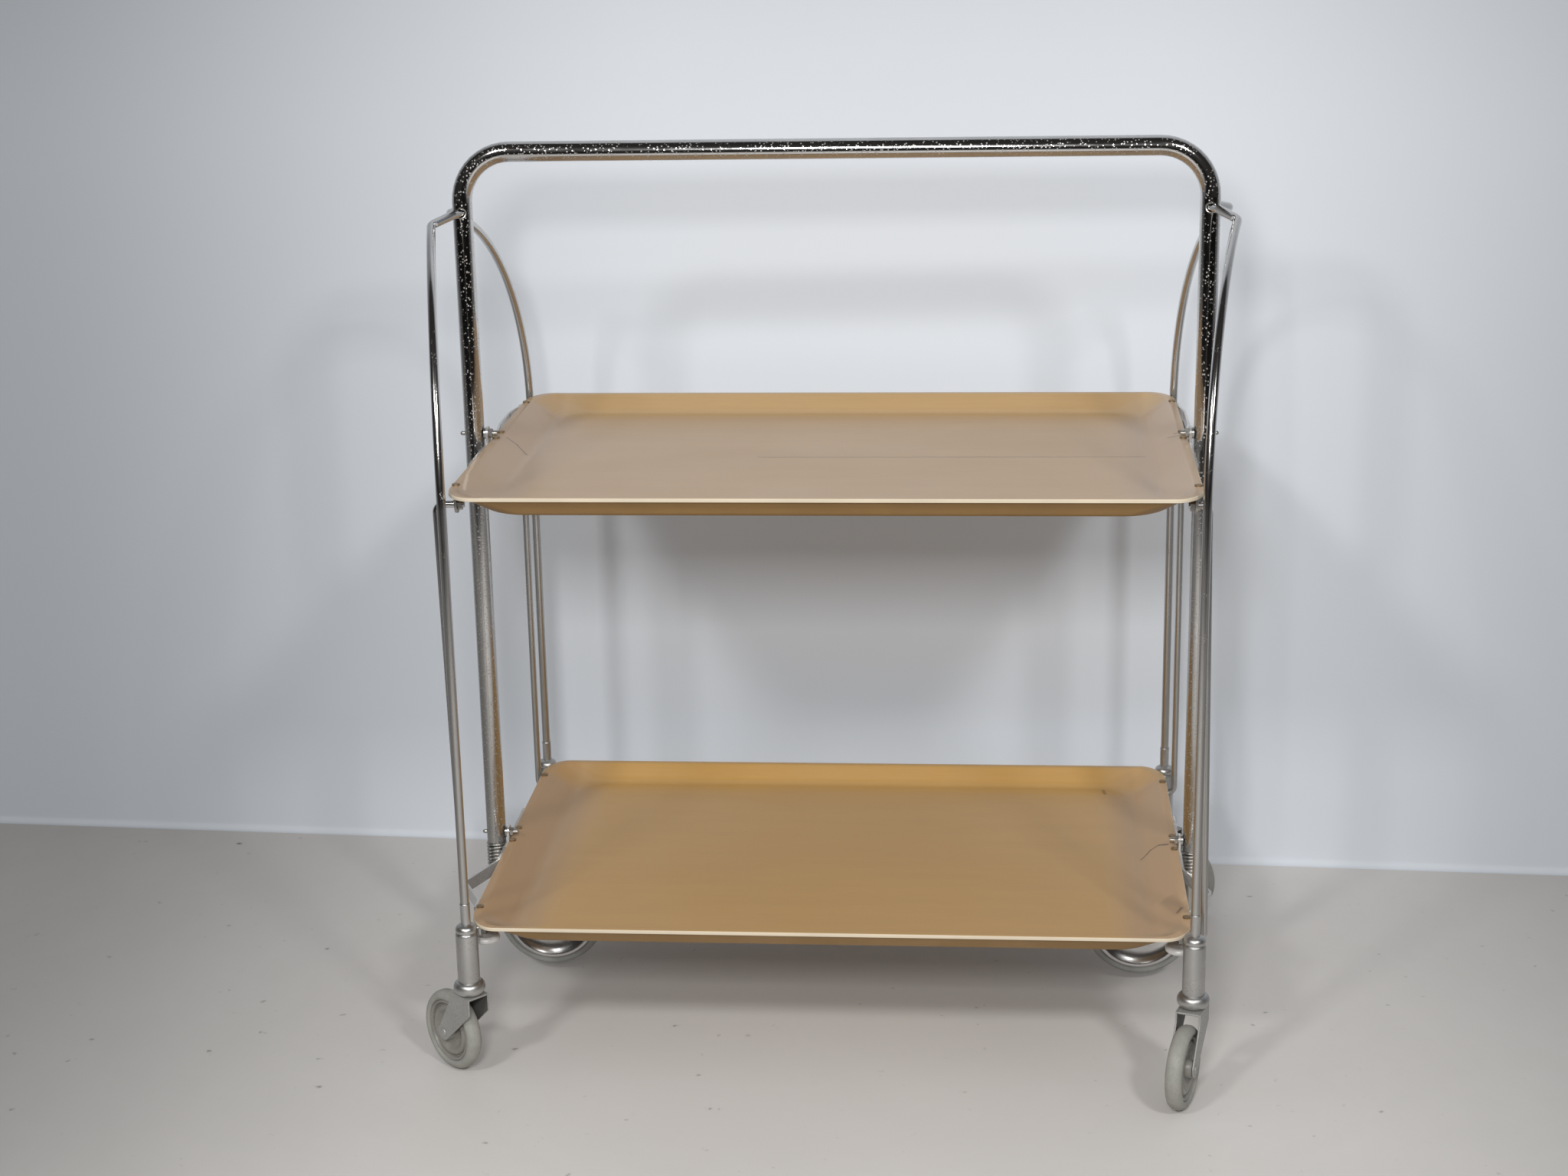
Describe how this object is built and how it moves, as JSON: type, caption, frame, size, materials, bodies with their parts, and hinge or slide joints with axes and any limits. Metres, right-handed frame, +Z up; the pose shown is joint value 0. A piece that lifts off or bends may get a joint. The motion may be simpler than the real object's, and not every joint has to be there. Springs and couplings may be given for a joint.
{
  "type": "folding tea trolley",
  "caption": "Folding tea trolley with tilting trays in a tubular U handle, bent rod legs on swivel casters and sprung wheels below",
  "frame": {"origin": "on the floor below the middle of the handle and trays", "axes": "+X along the trays to the right, +Y to the rear, +Z up; the handle lies in the XZ plane"},
  "size_m": [0.6992, 0.5168, 0.7633],
  "materials": {
    "chrome": "polished, lightly pitted",
    "satin_chrome": "dulled",
    "zinc_steel": "satin",
    "worn_steel": "worn, dull",
    "dark_steel": "dull",
    "laminate": "satin moulded laminate",
    "grey_rubber": "matt",
    "grey_plastic": "matt"
  },
  "bodies": {
    "frame": {"handle_frame": "chrome", "pivot_bolts": "zinc_steel", "pivot_nuts": "zinc_steel"},
    "upper_shelf": {"upper_tray": "laminate", "upper_tray_straps": "zinc_steel", "upper_tray_lugs": "zinc_steel", "upper_tray_rivets": "dark_steel"},
    "lower_shelf": {"lower_tray": "laminate", "lower_tray_straps": "zinc_steel", "lower_tray_lugs": "zinc_steel", "lower_tray_rivets": "dark_steel"},
    "link_front_left": {"link_rod_front_left": "chrome", "link_nuts_front_left": "zinc_steel"},
    "leg_front_left": {"leg_rod_front_left": "chrome", "leg_sleeve_front_left": "satin_chrome", "sleeve_ring_front_left": "satin_chrome"},
    "fork_front_left": {"caster_fork_front_left": "worn_steel", "caster_axle_front_left": "worn_steel"},
    "caster_front_left": {"caster_tyre_front_left": "grey_rubber", "caster_disc_front_left": "grey_plastic"},
    "link_front_right": {"link_rod_front_right": "chrome", "link_nuts_front_right": "zinc_steel"},
    "leg_front_right": {"leg_rod_front_right": "chrome", "leg_sleeve_front_right": "satin_chrome", "sleeve_ring_front_right": "satin_chrome"},
    "fork_front_right": {"caster_fork_front_right": "worn_steel", "caster_axle_front_right": "worn_steel"},
    "caster_front_right": {"caster_tyre_front_right": "grey_rubber", "caster_disc_front_right": "grey_plastic"},
    "link_rear_left": {"link_rod_rear_left": "chrome", "link_nuts_rear_left": "zinc_steel"},
    "leg_rear_left": {"leg_rod_rear_left": "chrome", "leg_sleeve_rear_left": "satin_chrome", "sleeve_ring_rear_left": "satin_chrome"},
    "fork_rear_left": {"caster_fork_rear_left": "worn_steel", "caster_axle_rear_left": "worn_steel"},
    "caster_rear_left": {"caster_tyre_rear_left": "grey_rubber", "caster_disc_rear_left": "grey_plastic"},
    "link_rear_right": {"link_rod_rear_right": "chrome", "link_nuts_rear_right": "zinc_steel"},
    "leg_rear_right": {"leg_rod_rear_right": "chrome", "leg_sleeve_rear_right": "satin_chrome", "sleeve_ring_rear_right": "satin_chrome"},
    "fork_rear_right": {"caster_fork_rear_right": "worn_steel", "caster_axle_rear_right": "worn_steel"},
    "caster_rear_right": {"caster_tyre_rear_right": "grey_rubber", "caster_disc_rear_right": "grey_plastic"},
    "carrier_left": {"carrier_shaft_left": "zinc_steel", "carrier_spring_left": "zinc_steel", "wheel_clip_left": "zinc_steel"},
    "big_wheel_left": {"wheel_tyre_left": "grey_rubber", "wheel_hub_left": "chrome"},
    "carrier_right": {"carrier_shaft_right": "zinc_steel", "carrier_spring_right": "zinc_steel", "wheel_clip_right": "zinc_steel"},
    "big_wheel_right": {"wheel_tyre_right": "grey_rubber", "wheel_hub_right": "chrome"}
  },
  "joints": [
    {"name": "upper_tray_tilt", "type": "hinge", "parent": "frame", "child": "upper_shelf", "pos_m": [0, 0, 0.5133], "axis": [1, 0, 0], "range_deg": [0, 38]},
    {"name": "lower_tray_tilt", "type": "hinge", "parent": "frame", "child": "lower_shelf", "pos_m": [0, 0, 0.1434], "axis": [1, 0, 0], "range_deg": [0, 38]},
    {"name": "link_hinge_front_left", "type": "hinge", "parent": "upper_shelf", "child": "link_front_left", "pos_m": [-0.308, -0.169, 0.4933], "axis": [1, 0, 0], "range_deg": [-38, 0]},
    {"name": "leg_hinge_front_left", "type": "hinge", "parent": "frame", "child": "leg_front_left", "pos_m": [-0.3127, -0.0075, 0.7045], "axis": [1, 0, 0], "range_deg": [0, 1.14]},
    {"name": "caster_swivel_front_left", "type": "hinge", "parent": "leg_front_left", "child": "fork_front_left", "pos_m": [-0.3005, -0.198, 0.1], "axis": [0, 0, 1], "continuous": true},
    {"name": "caster_spin_front_left", "type": "hinge", "parent": "fork_front_left", "child": "caster_front_left", "pos_m": [-0.32076, -0.17911, 0.035], "axis": [-0.682, -0.7314, 0], "continuous": true},
    {"name": "link_hinge_front_right", "type": "hinge", "parent": "upper_shelf", "child": "link_front_right", "pos_m": [0.308, -0.169, 0.4933], "axis": [1, 0, 0], "range_deg": [-38, 0]},
    {"name": "leg_hinge_front_right", "type": "hinge", "parent": "frame", "child": "leg_front_right", "pos_m": [0.3127, -0.0075, 0.7045], "axis": [1, 0, 0], "range_deg": [0, 1.14]},
    {"name": "caster_swivel_front_right", "type": "hinge", "parent": "leg_front_right", "child": "fork_front_right", "pos_m": [0.3005, -0.198, 0.1], "axis": [0, 0, 1], "continuous": true},
    {"name": "caster_spin_front_right", "type": "hinge", "parent": "fork_front_right", "child": "caster_front_right", "pos_m": [0.29148, -0.22419, 0.035], "axis": [0.9455, -0.3256, 0], "continuous": true},
    {"name": "link_hinge_rear_left", "type": "hinge", "parent": "upper_shelf", "child": "link_rear_left", "pos_m": [-0.308, 0.169, 0.4933], "axis": [1, 0, 0], "range_deg": [-38, 0]},
    {"name": "leg_hinge_rear_left", "type": "hinge", "parent": "frame", "child": "leg_rear_left", "pos_m": [-0.3127, 0.0075, 0.7045], "axis": [1, 0, 0], "range_deg": [-1.14, 0]},
    {"name": "caster_swivel_rear_left", "type": "hinge", "parent": "leg_rear_left", "child": "fork_rear_left", "pos_m": [-0.3005, 0.198, 0.1], "axis": [0, 0, 1], "continuous": true},
    {"name": "caster_spin_rear_left", "type": "hinge", "parent": "fork_rear_left", "child": "caster_rear_left", "pos_m": [-0.29148, 0.22419, 0.035], "axis": [-0.9455, 0.3256, 0], "continuous": true},
    {"name": "link_hinge_rear_right", "type": "hinge", "parent": "upper_shelf", "child": "link_rear_right", "pos_m": [0.308, 0.169, 0.4933], "axis": [1, 0, 0], "range_deg": [-38, 0]},
    {"name": "leg_hinge_rear_right", "type": "hinge", "parent": "frame", "child": "leg_rear_right", "pos_m": [0.3127, 0.0075, 0.7045], "axis": [1, 0, 0], "range_deg": [-1.14, 0]},
    {"name": "caster_swivel_rear_right", "type": "hinge", "parent": "leg_rear_right", "child": "fork_rear_right", "pos_m": [0.3005, 0.198, 0.1], "axis": [0, 0, 1], "continuous": true},
    {"name": "caster_spin_rear_right", "type": "hinge", "parent": "fork_rear_right", "child": "caster_rear_right", "pos_m": [0.32076, 0.17911, 0.035], "axis": [0.682, 0.7314, 0], "continuous": true},
    {"name": "carrier_slide_left", "type": "slide", "parent": "frame", "child": "carrier_left", "axis": [0, 0, 1], "range_m": [0, 0.006], "stiffness_N_per_m": 1500, "springref_m": -0.008, "deforming": ["carrier_spring_left"]},
    {"name": "wheel_spin_left", "type": "hinge", "parent": "carrier_left", "child": "big_wheel_left", "pos_m": [-0.268, 0.015, 0.0585], "axis": [0, 1, 0], "continuous": true},
    {"name": "carrier_slide_right", "type": "slide", "parent": "frame", "child": "carrier_right", "axis": [0, 0, 1], "range_m": [0, 0.006], "stiffness_N_per_m": 1500, "springref_m": -0.008, "deforming": ["carrier_spring_right"]},
    {"name": "wheel_spin_right", "type": "hinge", "parent": "carrier_right", "child": "big_wheel_right", "pos_m": [0.268, 0.015, 0.0585], "axis": [0, 1, 0], "continuous": true}
  ],
  "couplings": [
    {"joint": "lower_tray_tilt", "follows": "upper_tray_tilt", "ratio": 1},
    {"joint": "link_hinge_front_left", "follows": "upper_tray_tilt", "ratio": -1},
    {"joint": "leg_hinge_front_left", "follows": "upper_tray_tilt", "ratio": 0.03},
    {"joint": "link_hinge_front_right", "follows": "upper_tray_tilt", "ratio": -1},
    {"joint": "leg_hinge_front_right", "follows": "upper_tray_tilt", "ratio": 0.03},
    {"joint": "link_hinge_rear_left", "follows": "upper_tray_tilt", "ratio": -1},
    {"joint": "leg_hinge_rear_left", "follows": "upper_tray_tilt", "ratio": -0.03},
    {"joint": "link_hinge_rear_right", "follows": "upper_tray_tilt", "ratio": -1},
    {"joint": "leg_hinge_rear_right", "follows": "upper_tray_tilt", "ratio": -0.03}
  ]
}
